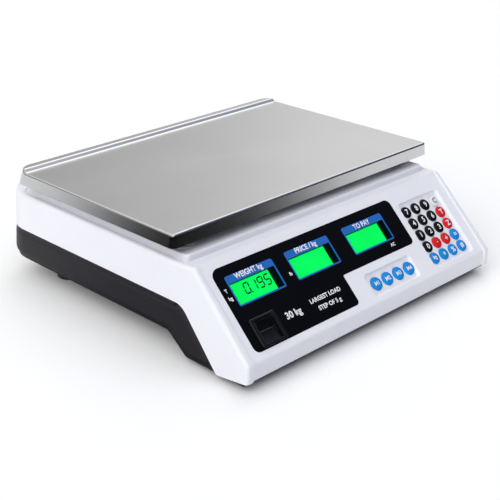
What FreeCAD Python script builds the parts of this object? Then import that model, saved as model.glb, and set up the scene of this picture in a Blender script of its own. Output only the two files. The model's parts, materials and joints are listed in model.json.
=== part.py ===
"""Retail price-computing counter scale, modelled as it comes apart on a bench.

Frame: +X to the operator's right, +Y away from the operator, +Z up, millimetres.
The origin is on the counter, under the middle of the scale's outline. The shapes are drawn
about a line through the pan's supports, and moved to that origin when they are written.
"""
import FreeCAD
import Part
import math
import os

V = FreeCAD.Vector

# ---- overall form ----------------------------------------------------------------------------
MIDDLE_Y = 7.0              # the outline's middle, in the axes that the shapes are drawn in
HALF_WIDTH = 170.3          # half the body's width at counter level
SIDE_DRAFT = 3.0 / 93.0     # how much each wall leans in per millimetre of height
REAR_DRAFT = 0.1            # the rear wall leans in more than the sides do
REAR_Y = 187.8              # rear wall at counter level
REAR_CORNER_R = 40.0        # rounded rear corners, seen from above
WALL = 2.5                  # moulded wall thickness of both shells
SHOULDER_Z = 93.3           # flat rim round the deck
SHOULDER_R = 3.5            # rounding from the rim into the side walls
DECK_Z = 98.0               # raised deck under the pan
SEAM_Z = 56.0               # where the white shell meets the black one at the sides
SEAM_GAP = 0.4
BASE_REAR_Z = 24.0          # underside of the base at the back
BASE_FRONT_Z = 6.5          # underside of the base at the front
BASE_EDGE_R = 8.0           # rounding of the base's lower edge behind the front feet
LIP_Z = 11.0                # lower edge of the white front lip

# ---- sloping front panel ---------------------------------------------------------------------
PANEL_ANGLE = 45.0
PANEL_Y = -169.5            # lower edge of the panel
PANEL_Z = 26.5
PANEL_HALF_X = 162.0        # the panel lies between two raised side borders
BORDER_RISE = 1.6           # how far the borders stand above the panel
SLOPE = math.tan(math.radians(PANEL_ANGLE))

# ---- weighing pan ----------------------------------------------------------------------------
PAN_HALF_X = 170.0
PAN_FRONT_Y = -84.5
PAN_REAR_Y = 140.5
PAN_TOP_Z = 118.0
PAN_FLANGE = 12.2
PAN_FLARE = 1.6             # how far the flange splays out at its lower edge
PAN_SHEET = 1.0
PAN_LIP_RISE = 3.0          # the raised strip along the rear edge
PAN_LIP_WIDTH = 13.0
PAN_FRONT_R = (2.8, 5.5)    # corner radii at the top and at the flange's lower edge
PAN_REAR_R = (14.0, 8.0)
PAN_CENTRE_Y = (PAN_FRONT_Y + PAN_REAR_Y) / 2

# ---- load path -------------------------------------------------------------------------------
CELL_LENGTH = 140.0
CELL_WIDTH = 30.0
CELL_Z = (62.0, 84.0)
CELL_BOLT_X = 52.0          # bolt group centre, from the middle of the cell
BOLT_PITCH = 16.0
SPIDER_Z = (101.5, 108.5)
PAD_X = 146.0
PAD_Y = (-68.0, 122.0)
PAD_R = 8.0

# ---- levelling feet --------------------------------------------------------------------------
FOOT_SPOTS = {"front": (138.0, -118.0), "rear": (130.0, 124.0)}
FOOT_R = 13.0
FOOT_HEIGHT = 8.0
STUD_R = 4.0
THREAD_PLAY = 0.05
STUD_TOP = 38.0

# ---- operator's display ----------------------------------------------------------------------
WINDOW_THICK = 1.2
WINDOW_PROUD = 0.2
LCD_S = (48.3, 76.6)        # lower and upper edge of each printed frame, up the slope
LCD_WIDTH = 56.0
LCD_CENTRES = {"weight": -114.4, "unit_price": -43.2, "total_price": 32.8}
HEADER = 7.0                # height of the caption bar over each figure
FRAME_LINE = 1.4            # width of the printed frame line
LCD_DEPTH = 4.0             # from the panel down to the glass
LCD_THICK = 1.8
BOARD_TOP = -9.3            # the circuit board, below the panel
BOARD_THICK = 1.6
BOARD_SCREWS = ((-147.0, 44.0), (-147.0, 81.0), (70.0, 81.0), (84.6, 34.0), (-56.0, 16.0))

# ---- keys ------------------------------------------------------------------------------------
KEY_PITCH_X = 14.5
KEY_PITCH_S = 13.0
KEY_FIRST = (96.3, 67.0)    # centre of the top left key
KEY_R = 5.75
MEMORY_PITCH = 15.8
MEMORY_FIRST = (10.2, 17.0)
MEMORY_R = 6.45
KEY_CLEAR = 0.35
RECESS_DEPTH = 2.5
KEY_RISE = 1.9              # top of the dome above the recess floor
KEY_FLANGE = 0.55
MAIN_KEYS = (("key_7", "key_8", "key_9", "key_clear"),
             ("key_4", "key_5", "key_6", "key_tare"),
             ("key_1", "key_2", "key_3", "key_zero"),
             ("key_0", "key_point", "key_add", "key_total"),
             ("key_unit", "key_light", "key_change", "key_return"))
MEMORY_KEYS = ("key_memory_1", "key_memory_2", "key_memory_3", "key_memory_4")
MAIN_RECESS = (88.6, 150.4, 5.4, 77.4)
MEMORY_RECESS = (-1.0, 65.4, 5.4, 28.9)

# ---- rocker power switch ---------------------------------------------------------------------
SWITCH_CENTRE = (-129.2, 21.6)
SWITCH_BEZEL = (29.6, 26.8)
ROCKER_SIZE = (20.4, 20.6)
ROCKER_WELL = (21.4, 22.4)
ROCKER_PIVOT = -2.0         # pivot height against the panel
ROCKER_TILT = 7.0

# ---- customer's display in the rear wall -----------------------------------------------------
REAR_WINDOW_X = 128.0
REAR_WINDOW_Z = (57.5, 86.5)
REAR_LCD_CENTRES = (78.0, 0.0, -78.0)

# ---- power ------------------------------------------------------------------------------------
BATTERY_X = (-115.0, -45.0)
BATTERY_Y = (52.0, 152.0)
BATTERY_HEIGHT = 47.0
DOOR_X = (-119.0, -41.0)
DOOR_Y = (56.0, 157.0)
DOOR_Z = (20.9, 23.4)
INLET_Y = 95.0
INLET_Z = 41.5
LEVEL_Y = -58.0           # bubble level in the deck
LEVEL_R = 8.0

SCREW_SPOTS = ((156.0, 40.0), (-156.0, 40.0), (156.0, -55.0), (-156.0, -55.0),
               (125.0, 157.0), (-125.0, 157.0), (70.0, -150.0), (-70.0, -150.0))


# ---- drawing helpers -------------------------------------------------------------------------
def outline(corners, place):
    """A closed wire through (u, v, radius) corners, each rounded by its radius."""
    spots = []
    count = len(corners)
    for i, (u, v, r) in enumerate(corners):
        here = V(u, v, 0)
        before = V(*corners[i - 1][:2], 0)
        after = V(*corners[(i + 1) % count][:2], 0)
        if not r:
            spots.append((here, here, here))
            continue
        to_before = (before - here).normalize()
        to_after = (after - here).normalize()
        half = to_before.getAngle(to_after) / 2
        setback = r / math.tan(half)
        centre = here + (to_before + to_after).normalize() * (r / math.sin(half))
        middle = centre + (here - centre).normalize() * r
        spots.append((here + to_before * setback, middle, here + to_after * setback))
    edges = []
    for i, (start, middle, end) in enumerate(spots):
        if start.distanceToPoint(end) > 1e-6:
            edges.append(Part.Arc(place(start), place(middle), place(end)).toShape())
        nxt = spots[(i + 1) % count][0]
        if end.distanceToPoint(nxt) > 1e-6:
            edges.append(Part.LineSegment(place(end), place(nxt)).toShape())
    return Part.Wire(edges)


def plan(corners, z0, z1):
    """A prism whose outline lies in XY."""
    wire = outline(corners, lambda p: V(p.x, p.y, z0))
    return Part.Face(wire).extrude(V(0, 0, z1 - z0))


def side(corners, x0, x1):
    """A prism whose outline lies in YZ, from x0 to x1."""
    wire = outline(corners, lambda p: V(x0, p.x, p.y))
    return Part.Face(wire).extrude(V(x1 - x0, 0, 0))


def rectangle(x0, x1, y0, y1, r=0.0):
    return ((x0, y0, r), (x1, y0, r), (x1, y1, r), (x0, y1, r))


def block(x0, x1, y0, y1, z0, z1, r=0.0):
    return plan(rectangle(x0, x1, y0, y1, r), z0, z1)


def post(x, y, z0, z1, r):
    return Part.makeCylinder(r, z1 - z0, V(x, y, z0))


def tapered(low, high, z0, z1):
    """A straight loft from one outline in XY to another above it."""
    wires = [outline(low, lambda p: V(p.x, p.y, z0)), outline(high, lambda p: V(p.x, p.y, z1))]
    return Part.makeLoft(wires, True, True)


def join(shapes):
    first, *rest = shapes
    return first.fuse(rest).removeSplitter() if rest else first


def cap_screw(x, y, head_z, tip_z, r, head_r, head_height):
    """A socket screw standing on its tip or hanging from its head, along Z."""
    up = 1 if head_z > tip_z else -1
    shank = post(x, y, min(head_z, tip_z), max(head_z, tip_z), r)
    head_end = head_z + up * head_height
    head = post(x, y, min(head_z, head_end), max(head_z, head_end), head_r)
    socket_low = min(head_end, head_end - up * head_height * 0.55)
    socket = Part.makeCylinder(head_r * 0.5, head_height * 0.55, V(x, y, socket_low))
    return join([shank, head]).cut(socket)


def on_panel(shape):
    """Carry a shape from panel axes (x, up the slope, outwards) into the scale's frame."""
    tilt = FreeCAD.Placement(V(0, PANEL_Y, PANEL_Z), FreeCAD.Rotation(V(1, 0, 0), PANEL_ANGLE))
    placed = shape.copy()
    placed.Placement = tilt.multiply(placed.Placement)
    return placed


def on_rear(shape):
    """Carry a shape from rear wall axes (leftwards, up, outwards) into the scale's frame."""
    lean = math.degrees(math.atan(REAR_DRAFT))
    turn = FreeCAD.Rotation(V(0, 0, 1), 180).multiply(FreeCAD.Rotation(V(1, 0, 0), 90 - lean))
    placed = shape.copy()
    placed.Placement = FreeCAD.Placement(V(0, REAR_Y, 0), turn).multiply(placed.Placement)
    return placed


# ---- body form -------------------------------------------------------------------------------
def walls(inset, low=-5.0, high=125.0):
    """The tapered body, rounded at its two rear corners and left open-ended in front."""
    def leaning(reach, draft, z):
        return reach - inset - draft * z

    corners = [(sign * leaning(HALF_WIDTH, SIDE_DRAFT, z), z) for sign, z in
               ((-1, low), (1, low), (1, high), (-1, high))]
    across = Part.Face(Part.makePolygon([V(x, -220.0, z) for x, z in corners + corners[:1]]))
    across = across.extrude(V(0, 420.0, 0))
    along = side(((-220.0, low, 0), (leaning(REAR_Y, REAR_DRAFT, low), low, 0),
                  (leaning(REAR_Y, REAR_DRAFT, high), high, 0), (-220.0, high, 0)), -200.0, 200.0)
    body = across.common(along)
    uprights = [e for e in body.Edges
                if e.BoundBox.ZLength > high - low - 1 and e.CenterOfMass.y > 0]
    return body.makeFillet(REAR_CORNER_R - inset, uprights)


def upper_profile(inset):
    """Lip, panel slope, shoulder and rear, as seen from the side, at the height of the borders."""
    out = (BORDER_RISE - inset) * math.sqrt(0.5)
    lip_y = PANEL_Y - BORDER_RISE + inset
    slope_y, slope_z = PANEL_Y - out, PANEL_Z + out
    lip_top = slope_z + (lip_y - slope_y) * SLOPE
    shoulder = SHOULDER_Z - inset
    ridge_y = slope_y + (shoulder - slope_z) / SLOPE
    round_off = max(1.0, 5.0 - inset)
    return ((lip_y + 1.5, -4.0, 0), (lip_y, lip_top, round_off), (ridge_y, shoulder, round_off),
            (200.0, shoulder, 0), (200.0, -4.0, 0))


def shoulder_edges(shape):
    """The edges that run round the top of the body, where the walls turn over."""
    picked = []
    for edge in shape.Edges:
        ends = [edge.valueAt(edge.FirstParameter), edge.valueAt(edge.LastParameter)]
        on_wall = all(min(abs(HALF_WIDTH - SIDE_DRAFT * p.z - abs(p.x)),
                          abs(REAR_Y - REAR_DRAFT * p.z - p.y)) < 0.02
                      or p.z > SHOULDER_Z - 0.01 for p in ends)
        upright = abs(ends[0].z - ends[1].z) > 60 and abs(ends[0].y - ends[1].y) < 8
        inner = all(abs(p.x) < HALF_WIDTH - 12 for p in ends)
        level = all(p.z < 0 for p in ends)
        if on_wall and not upright and not level and not inner:
            picked.append(edge)
    rear = [e for e in shape.Edges
            if all(v.Z > SHOULDER_Z - 0.01 and v.Y > 100 for v in e.Vertexes)]
    known = {e.hashCode() for e in picked}
    return picked + [e for e in rear if e.hashCode() not in known]


def white_region():
    """Everything above the seam: level along the sides, then down ahead of the base."""
    return ((-240.0, LIP_Z, 0), (-168.0, LIP_Z, 2.0), (-134.0, BASE_FRONT_Z + 0.3, 3.0),
            (-90.8, SEAM_Z, 18.0), (240.0, SEAM_Z, 0), (240.0, 150.0, 0), (-240.0, 150.0, 0))


def deck_outline(grow, front_r, rear_r):
    """The raised deck seen from above: tight corners in front, rounder ones at the back."""
    x, front, rear = 160.8 + grow, -90.8 - grow, 150.0 + grow
    return (-x, front, front_r), (x, front, front_r), (x, rear, rear_r), (-x, rear, rear_r)


def deck_block():
    deck = tapered(deck_outline(0.0, 5.0, 14.0), deck_outline(-1.2, 4.0, 13.0), 90.0, DECK_Z)
    return deck.makeFillet(1.6, [e for e in deck.Edges if min(v.Z for v in e.Vertexes) > DECK_Z - 0.01])


def bevelled_recess(box, r):
    """A keypad recess: level floor, walls sloping outwards."""
    x0, x1, s0, s1 = box
    d = RECESS_DEPTH
    floor = rectangle(x0 + d, x1 - d, s0 + d * 0.6, s1 - d * 0.6, r)
    mouth = rectangle(x0, x1, s0, s1, r + d * 0.6)
    return tapered(floor, mouth, -d, 0.0).fuse(plan(mouth, 0.0, 3.0))


def window_outline(grow=0.0):
    left, right, foot, crown = -152.6 - grow, 80.6 + grow, 7.0 - grow, 86.0 + grow
    notch_x, notch_s = -22.6 + grow, 36.6 - grow
    return ((left, foot, 6.0), (notch_x, foot, 4.0), (notch_x, notch_s, 1.5),
            (right, notch_s, 5.0), (right, crown, 6.0), (left, crown, 9.0))


def lcd_opening(centre, inset):
    x0, x1 = centre - LCD_WIDTH / 2 + inset, centre + LCD_WIDTH / 2 - inset
    return x0, x1, LCD_S[0] + inset, LCD_S[1] - max(HEADER, inset)


def key_spots():
    """Each key's name, centre on the panel and radius."""
    spots = []
    for row, names in enumerate(MAIN_KEYS):
        for column, name in enumerate(names):
            x = KEY_FIRST[0] + column * KEY_PITCH_X
            s = KEY_FIRST[1] - row * KEY_PITCH_S
            spots.append((name, x, s, KEY_R))
    for column, name in enumerate(MEMORY_KEYS):
        spots.append((name, MEMORY_FIRST[0] + column * MEMORY_PITCH, MEMORY_FIRST[1], MEMORY_R))
    return spots


def boss_split(y):
    """Height at which the two shells' screw bosses meet."""
    return 24.0 if y < -100 else 44.0


# ---- shells ----------------------------------------------------------------------------------
def top_housing():
    outer = walls(0.0).common(side(upper_profile(0.0), -200.0, 200.0))
    outer = outer.makeFillet(SHOULDER_R, shoulder_edges(outer))
    inner = walls(WALL).common(side(upper_profile(WALL + BORDER_RISE), -200.0, 200.0))

    channel = plan(deck_outline(2.6, 7.0, 16.0), SHOULDER_Z - 1.4, SHOULDER_Z + 5)
    outer = outer.cut(channel).fuse(deck_block())
    inner_deck = plan(rectangle(-156.0, 156.0, -86.0, 147.0, 12.0), 80.0, DECK_Z - WALL)

    panel_cut = ((-230.0, -6.0, 0), (PANEL_Y + 2.0, -6.0, 0), (PANEL_Y, PANEL_Z, 3.5),
                 (PANEL_Y + 100.0 / SLOPE, PANEL_Z + 100.0, 0), (-230.0, PANEL_Z + 100.0, 0))
    outer = outer.cut(side(panel_cut, -PANEL_HALF_X, PANEL_HALF_X))

    shell = outer.cut(inner).cut(inner_deck)
    shell = shell.common(side(white_region(), -200.0, 200.0))

    # posts that take the housing screws, trimmed by the shell's own outer form
    posts = []
    for x, y in SCREW_SPOTS:
        posts.append(post(x, y, boss_split(y), 130.0, 4.2).common(outer))
    shell = shell.fuse(posts)

    # thicker recess floors under the two keypads
    pads = [on_panel(block(b[0] - 2, b[1] + 2, b[2] - 1, b[3] + 2, -RECESS_DEPTH - WALL, -1.5))
            for b in (MAIN_RECESS, MEMORY_RECESS)]
    shell = shell.fuse(pads)
    studs = [on_panel(post(x, s, BOARD_TOP, -2.0, 2.9)) for x, s in BOARD_SCREWS]
    shell = shell.fuse(studs)

    cuts = [on_panel(post(x, s, BOARD_TOP - 1.0, -4.0, 1.5)) for x, s in BOARD_SCREWS]
    cuts += [on_panel(bevelled_recess(MAIN_RECESS, 3.0)),
            on_panel(bevelled_recess(MEMORY_RECESS, 2.5)),
            on_panel(plan(window_outline(0.1), WINDOW_PROUD - WINDOW_THICK, 4.0))]
    for centre in LCD_CENTRES.values():
        cuts.append(on_panel(block(*lcd_opening(centre, 0.6), -12.0, 1.0)))
    sx, ss = SWITCH_CENTRE
    cuts.append(on_panel(block(sx - 12.9, sx + 12.9, ss - 12.1, ss + 12.1, -12.0, 1.0, 1.0)))
    for _, x, s, r in key_spots():
        cuts.append(on_panel(post(x, s, -12.0, 1.0, r + KEY_CLEAR)))
    for x, y in SCREW_SPOTS:
        cuts.append(post(x, y, 0.0, boss_split(y) + 12.0, 1.7))
    cuts.append(block(CELL_BOLT_X - 25, CELL_BOLT_X + 25, PAN_CENTRE_Y - 19, PAN_CENTRE_Y + 19,
                      80.0, 110.0, 4.0))
    cuts.append(post(0.0, LEVEL_Y, 80.0, 110.0, LEVEL_R + 0.1))
    low, high = REAR_WINDOW_Z
    cuts.append(on_rear(block(-REAR_WINDOW_X - 0.1, REAR_WINDOW_X + 0.1, low - 0.1, high + 0.1,
                              WINDOW_PROUD - WINDOW_THICK, 4.0, 5.0)))
    for centre in REAR_LCD_CENTRES:
        cuts.append(on_rear(block(centre - 26.0, centre + 26.0, low + 4, high - 7, -12.0, 1.0)))
    shell = shell.cut(cuts)

    # low round seats on the deck, under each overload pad
    seats = [post(x, y, DECK_Z - 1.0, DECK_Z + 0.6, 10.0) for x in (-PAD_X, PAD_X) for y in PAD_Y]
    return shell.fuse(seats).removeSplitter()


def base_profile(inset, front):
    """Side view of the black base: low at the front, stepping up behind the front feet."""
    low = BASE_FRONT_Z + inset
    high = BASE_REAR_Z + inset
    shape = [(240.0, high, 0), (-70.0 - inset * 0.4, high, 9.0), (-93.0 - inset * 0.4, low, 9.0)]
    if front:
        shape += [(-165.5 + inset, low, 2.0), (-165.5 + inset, 21.0, 0), (-142.0, 21.0, 0),
                  (-107.0, SEAM_Z - SEAM_GAP, 0)]
    else:
        drop = SEAM_GAP + inset * 1.4
        shape += [(-134.0 + drop, low, 6.0), (-91.1 + drop, SEAM_Z - SEAM_GAP, 18.0)]
    return tuple(shape + [(240.0, SEAM_Z - SEAM_GAP, 0)])


def base_flank(inset):
    """The base behind its front slope, with a rounded lower edge."""
    flank = walls(inset).common(side(base_profile(inset, False), -200.0, 200.0))
    low_edges = [e for e in flank.Edges
                 if all(abs(v.Z - BASE_REAR_Z - inset) < 0.01 for v in e.Vertexes)
                 and (abs(e.CenterOfMass.x) > 130 or e.CenterOfMass.y > 150)]
    return flank.makeFillet(BASE_EDGE_R - inset, low_edges)


def base_housing():
    nose = walls(WALL + 0.4).common(side(base_profile(0.0, True), -200.0, 200.0))
    outer = base_flank(0.0).fuse(nose)

    inner_nose = walls(WALL * 2 + 0.4).common(side(base_profile(WALL, True), -200.0, 200.0))
    shell = outer.cut([base_flank(WALL), inner_nose])

    # tongue that rises inside the white shell and hides the seam
    low, seam, high = SEAM_Z - 10.0, SEAM_Z - 1.0, SEAM_Z + 4.0
    tongue = walls(WALL + 0.2, low, high).cut(walls(WALL + 1.8, low - 4.0, high + 4.0))
    tongue = tongue.common(side(((-84.0, low, 0), (240.0, low, 0), (240.0, high, 0),
                                 (-84.0, high, 0)), -200.0, 200.0))
    web = walls(0.5, low, seam).cut(walls(WALL + 1.8, low - 4.0, high + 4.0))
    web = web.common(side(((-82.0, low, 0), (240.0, low, 0), (240.0, seam, 0),
                           (-82.0, seam, 0)), -200.0, 200.0))
    socket_room = block(150.0, side_wall_x(INLET_Z) - WALL, INLET_Y - 17.0, INLET_Y + 17.0, 30.0, 60.0)
    shell = shell.fuse([tongue.cut(socket_room), web.cut(socket_room)])

    adds = []
    cuts = []
    for x, y in SCREW_SPOTS:
        floor = BASE_FRONT_Z if y < -100 else BASE_REAR_Z
        adds.append(post(x, y, floor, boss_split(y) - 0.2, 4.2))
        cuts += [post(x, y, floor - 1, boss_split(y) + 1, 1.7), post(x, y, floor - 1, floor + 5, 3.8)]
    for reach, y in FOOT_SPOTS.values():
        for x in (-reach, reach):
            adds.append(foot_boss(x, y))
            cuts.append(post(x, y, -5.0, 50.0, STUD_R + THREAD_PLAY))
            if y < 0:
                cuts.append(post(x, y, -5.0, 17.0, FOOT_R + 1.5))
    # tower under the load cell's fixed end
    adds.append(block(-CELL_BOLT_X - 18, -CELL_BOLT_X + 16, PAN_CENTRE_Y - 15, PAN_CENTRE_Y + 15,
                      BASE_REAR_Z, CELL_Z[0] - 6.0, 2.0))
    for dx in (-BOLT_PITCH / 2, BOLT_PITCH / 2):
        cuts.append(post(-CELL_BOLT_X + dx, PAN_CENTRE_Y, 0.0, 70.0, 3.05))
        cuts.append(post(-CELL_BOLT_X + dx, PAN_CENTRE_Y, 0.0, BASE_REAR_Z + 14.0, 5.6))
    # battery hatch, with the two grooved rails that its door slides in
    cuts.append(block(DOOR_X[0] + 8, DOOR_X[1] - 8, DOOR_Y[0] + 8, DOOR_Y[1] - 14, 20.0, 30.0, 3.0))
    for end, inward in ((DOOR_X[0], 1), (DOOR_X[1], -1)):
        wall_x = sorted((end - inward * 0.4, end - inward * 2.8))
        lip_x = sorted((end - inward * 2.8, end + inward * 2.2))
        adds.append(block(*wall_x, DOOR_Y[0], DOOR_Y[1] - 2, DOOR_Z[0] - 1.9, BASE_REAR_Z + 0.5))
        adds.append(block(*lip_x, DOOR_Y[0], DOOR_Y[1] - 2, DOOR_Z[0] - 1.9, DOOR_Z[0] - 0.4))
    adds.append(block(DOOR_X[0] - 2.8, DOOR_X[1] + 2.8, DOOR_Y[0] - 3.0, DOOR_Y[0] - 0.5,
                      DOOR_Z[0] - 1.9, BASE_REAR_Z + 0.5))
    cuts.append(inlet_hole())
    shell = shell.fuse(adds).cut(cuts)
    return shell.removeSplitter()


def foot_boss(x, y):
    """The threaded column of the base that a foot screws into."""
    if y < 0:
        return join([post(x, y, BASE_FRONT_Z, 19.5, FOOT_R + 3.5), post(x, y, 15.0, 40.0, 8.0)])
    return post(x, y, 15.0, 42.0, 8.5)


def levelling_foot(x, y):
    """A knurled plastic foot on its threaded stud."""
    notches = 28
    disc = post(x, y, 0.0, FOOT_HEIGHT, FOOT_R)
    disc = disc.makeChamfer(0.8, [e for e in disc.Edges if isinstance(e.Curve, Part.Circle)])
    flutes = []
    for i in range(notches):
        turn = 2 * math.pi * i / notches
        flutes.append(post(x + (FOOT_R + 0.55) * math.cos(turn),
                           y + (FOOT_R + 0.55) * math.sin(turn), 1.6, FOOT_HEIGHT + 1, 1.05))
    disc = disc.cut(flutes)
    stud = post(x, y, FOOT_HEIGHT - 1.0, STUD_TOP, STUD_R)
    tip = [e for e in stud.Edges if isinstance(e.Curve, Part.Circle) and e.CenterOfMass.z > 20]
    return join([disc, stud.makeChamfer(0.9, tip)])


# ---- load path -------------------------------------------------------------------------------
def pan_footprint(drop, inset):
    """The pan seen from above, at a distance below its lip; the flange splays as it goes down."""
    part = drop / (PAN_FLANGE + PAN_LIP_RISE)
    grow = PAN_FLARE * part - inset
    front_r, rear_r = (r[0] + (r[1] - r[0]) * part - inset for r in (PAN_FRONT_R, PAN_REAR_R))
    x, front, rear = PAN_HALF_X + grow, PAN_FRONT_Y - grow, PAN_REAR_Y + grow
    return (-x, front, front_r), (x, front, front_r), (x, rear, rear_r), (-x, rear, rear_r)


def pan_form(inset):
    lip = PAN_TOP_Z + PAN_LIP_RISE
    drop = lip - PAN_TOP_Z + PAN_FLANGE + (1.0 if inset else 0.0)
    splayed = tapered(pan_footprint(drop, inset), pan_footprint(0.0, inset), lip - drop, lip)
    top, crease = PAN_TOP_Z - inset, PAN_REAR_Y - PAN_LIP_WIDTH
    section = ((-95.0, lip - drop, 0), (155.0, lip - drop, 0), (155.0, lip - inset, 0),
               (crease + 4.0, lip - inset, 3.5), (crease, top, 3.5), (-95.0, top, 0))
    return splayed.common(side(section, -180.0, 180.0))


def weighing_pan():
    outer = pan_form(0.0)
    rim = [e for e in outer.Edges
           if min(v.Z for v in e.Vertexes) > PAN_TOP_Z - 0.01
           and not (abs(e.Vertexes[0].Y - e.Vertexes[-1].Y) < 0.01
                    and abs(e.Vertexes[0].X - e.Vertexes[-1].X) > 300
                    and PAN_FRONT_Y + 1 < e.CenterOfMass.y < PAN_REAR_Y - 1)]
    outer = outer.makeFillet(1.9, rim)
    return outer.cut(pan_form(PAN_SHEET)).removeSplitter()


def pan_spider():
    """Cast frame: a hub over the load cell's free end and four arms to the pan's corners."""
    low, high = SPIDER_Z
    hub = block(-40.0, CELL_BOLT_X + 22, PAN_CENTRE_Y - 20, PAN_CENTRE_Y + 20, low, high - 1, 6.0)
    parts = [hub]
    for sign in (-1, 1):
        for y in PAD_Y:
            start, end = V(sign * 18.0, PAN_CENTRE_Y, 0), V(sign * PAD_X, y, 0)
            along = (end - start).normalize()
            across = V(-along.y, along.x, 0)
            root, tip = 17.0, 9.0
            arm = [start + across * root, end + across * tip, end - across * tip,
                   start - across * root]
            parts.append(plan([(p.x, p.y, 0) for p in arm], low, low + 4.0))
            rib = [start + across * 2, end + across * 2, end - across * 2, start - across * 2]
            parts.append(plan([(p.x, p.y, 0) for p in rib], low, high))
            parts.append(post(end.x, end.y, low, high, 12.5))
    body = join(parts)
    holes = [post(s * PAD_X, y, 90.0, 120.0, PAD_R - 2.0) for s in (-1, 1) for y in PAD_Y]
    for dx in (-BOLT_PITCH / 2, BOLT_PITCH / 2):
        holes.append(post(CELL_BOLT_X + dx, PAN_CENTRE_Y, 90.0, 120.0, 3.1))
        holes.append(post(CELL_BOLT_X + dx, PAN_CENTRE_Y, high - 3.0, 120.0, 5.6))
    return body.cut(holes)


def pan_pads():
    """Four rubber bushes: the pan rests on them and they stop an overloaded arm on the deck."""
    low, high = SPIDER_Z
    pads = []
    for sign in (-1, 1):
        for y in PAD_Y:
            x = sign * PAD_X
            neck = post(x, y, low, high, PAD_R - 2.0)
            crown = post(x, y, high, PAN_TOP_Z - PAN_SHEET - 0.05, PAD_R)
            bumper = post(x, y, DECK_Z + 1.7, low, PAD_R)
            pads.append(join([neck, crown, bumper]))
    return Part.makeCompound(pads)


def load_cell():
    """Aluminium bending beam with the usual double-bored window."""
    half = CELL_LENGTH / 2
    y0, y1 = PAN_CENTRE_Y - CELL_WIDTH / 2, PAN_CENTRE_Y + CELL_WIDTH / 2
    bar = block(-half, half, y0, y1, *CELL_Z)
    mid_z = sum(CELL_Z) / 2
    bores = [Part.makeCylinder(8.5, CELL_WIDTH + 2, V(x, y0 - 1, mid_z), V(0, 1, 0))
             for x in (-13.0, 13.0)]
    slot = block(-13.0, 13.0, y0 - 1, y1 + 1, mid_z - 3.0, mid_z + 3.0)
    holes = []
    for dx in (-BOLT_PITCH / 2, BOLT_PITCH / 2):
        holes.append(post(-CELL_BOLT_X + dx, PAN_CENTRE_Y, 50.0, CELL_Z[0] + 14, 3.05))
        holes.append(post(CELL_BOLT_X + dx, PAN_CENTRE_Y, CELL_Z[1] - 16, 100.0, 3.4))
    return bar.cut(bores + [slot] + holes)


def lower_spacer():
    x = -CELL_BOLT_X
    plate = block(x - 17, x + 15, PAN_CENTRE_Y - 15, PAN_CENTRE_Y + 15, CELL_Z[0] - 6, CELL_Z[0])
    return plate.cut([post(x + d * BOLT_PITCH / 2, PAN_CENTRE_Y, 50, 70, 3.05) for d in (-1, 1)])


def upper_spacer():
    x = CELL_BOLT_X
    plate = block(x - 16, x + 16, PAN_CENTRE_Y - 14, PAN_CENTRE_Y + 14, CELL_Z[1], SPIDER_Z[0], 2.0)
    return plate.cut([post(x + d * BOLT_PITCH / 2, PAN_CENTRE_Y, 80, 110, 3.1) for d in (-1, 1)])


def load_cell_screws():
    return Part.makeCompound([cap_screw(-CELL_BOLT_X + d * BOLT_PITCH / 2, PAN_CENTRE_Y,
                                        BASE_REAR_Z + 14.0, CELL_Z[0] + 12.0, 3.0, 5.0, 6.0)
                              for d in (-1, 1)])


def spider_screws():
    return Part.makeCompound([cap_screw(CELL_BOLT_X + d * BOLT_PITCH / 2, PAN_CENTRE_Y,
                                        SPIDER_Z[1] - 3.0, CELL_Z[1] - 12.0, 3.0, 5.0, 5.0)
                              for d in (-1, 1)])


def housing_screws():
    screws = []
    for x, y in SCREW_SPOTS:
        floor = BASE_FRONT_Z if y < -100 else BASE_REAR_Z
        screws.append(cap_screw(x, y, floor + 5.0, boss_split(y) + 9.0, 1.6, 3.5, 2.6))
    return Part.makeCompound(screws)


# ---- operator's display and keypads ----------------------------------------------------------
def display_window():
    plate = plan(window_outline(), WINDOW_PROUD - WINDOW_THICK, WINDOW_PROUD)
    cuts = [block(*lcd_opening(centre, FRAME_LINE), -3.0, 3.0) for centre in LCD_CENTRES.values()]
    for centre in LCD_CENTRES.values():
        cuts.append(frame_print(centre))
    sx, ss = SWITCH_CENTRE
    cuts.append(block(sx - 12.9, sx + 12.9, ss - 12.1, ss + 12.1, -3.0, 3.0, 1.0))
    return on_panel(plate.cut(cuts))


def frame_print(centre):
    """One printed frame with its caption bar, let into the window."""
    half = LCD_WIDTH / 2
    frame = block(centre - half, centre + half, *LCD_S, WINDOW_PROUD - 0.4, WINDOW_PROUD, 2.0)
    return frame.cut(block(*lcd_opening(centre, FRAME_LINE), -3.0, 3.0))


def display_bezels():
    return Part.makeCompound([on_panel(frame_print(c)) for c in LCD_CENTRES.values()])


def lcd_box(centre, n0, n1, shrink=0.0):
    half = 26.0 - shrink
    return block(centre - half, centre + half, LCD_S[0] + 1.2 + shrink, LCD_S[1] - 6.0 - shrink, n0, n1)


def lcd_panel(centre):
    return on_panel(lcd_box(centre, -LCD_DEPTH - LCD_THICK, -LCD_DEPTH))


def lcd_backlights():
    return Part.makeCompound([on_panel(lcd_box(c, BOARD_TOP, -LCD_DEPTH - LCD_THICK, 0.5))
                              for c in LCD_CENTRES.values()])


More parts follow.
